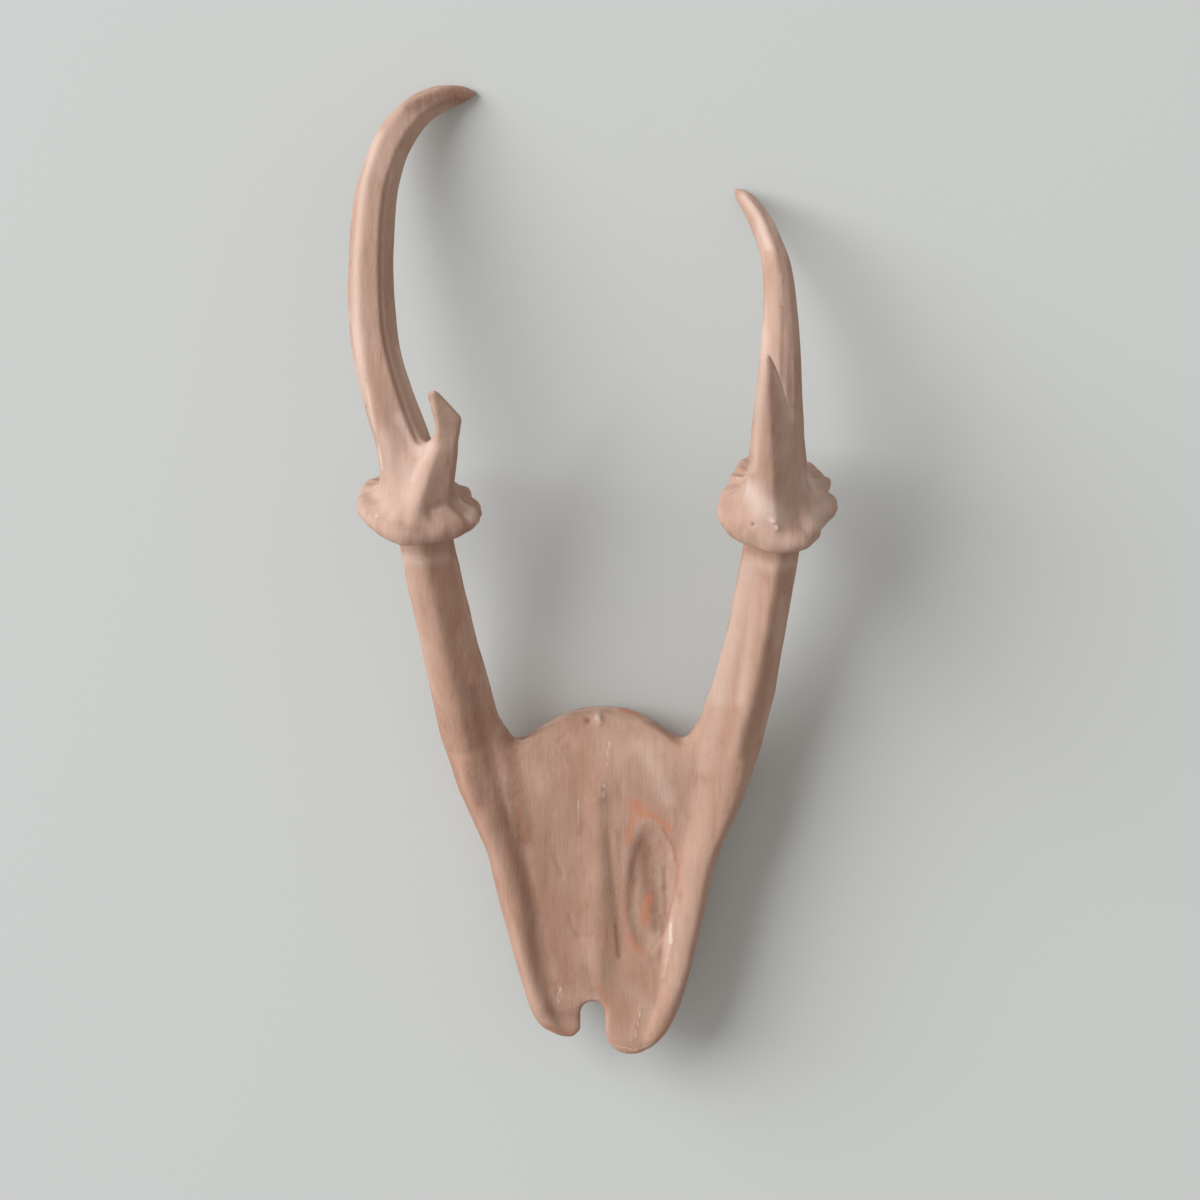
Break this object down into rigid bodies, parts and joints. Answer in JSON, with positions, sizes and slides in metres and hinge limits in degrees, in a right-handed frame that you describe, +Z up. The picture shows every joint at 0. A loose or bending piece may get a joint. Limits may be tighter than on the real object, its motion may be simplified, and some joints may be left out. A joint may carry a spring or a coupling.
{
  "type": "deer skull cap with antlers",
  "caption": "Sawn frontal plate of a small deer skull with long bony pedicles, knobbed burrs, hooked antler beams and short brow tines, lying on its sawn rim and antler tips.",
  "frame": {"origin": "middle of the bounding box at the level of the table that the skull cap lies on", "axes": "+X towards the side of the shorter antler, +Y from the nose end towards the antler tips, +Z up from the table"},
  "size_m": [0.1434, 0.2958, 0.0694],
  "materials": {
    "skull_bone": "matte, clay-brown stained bone with brushed grain, pale chalky wear and orange patches",
    "antler_bone": "matte, paler clay-brown stained antler with fine lengthwise grain"
  },
  "bodies": {
    "root": {"skull_plate": "skull_bone", "left_pedicle": "skull_bone", "right_pedicle": "skull_bone", "left_antler": "antler_bone", "right_antler": "antler_bone", "left_brow_tine": "antler_bone", "right_brow_tine": "antler_bone"}
  },
  "joints": []
}
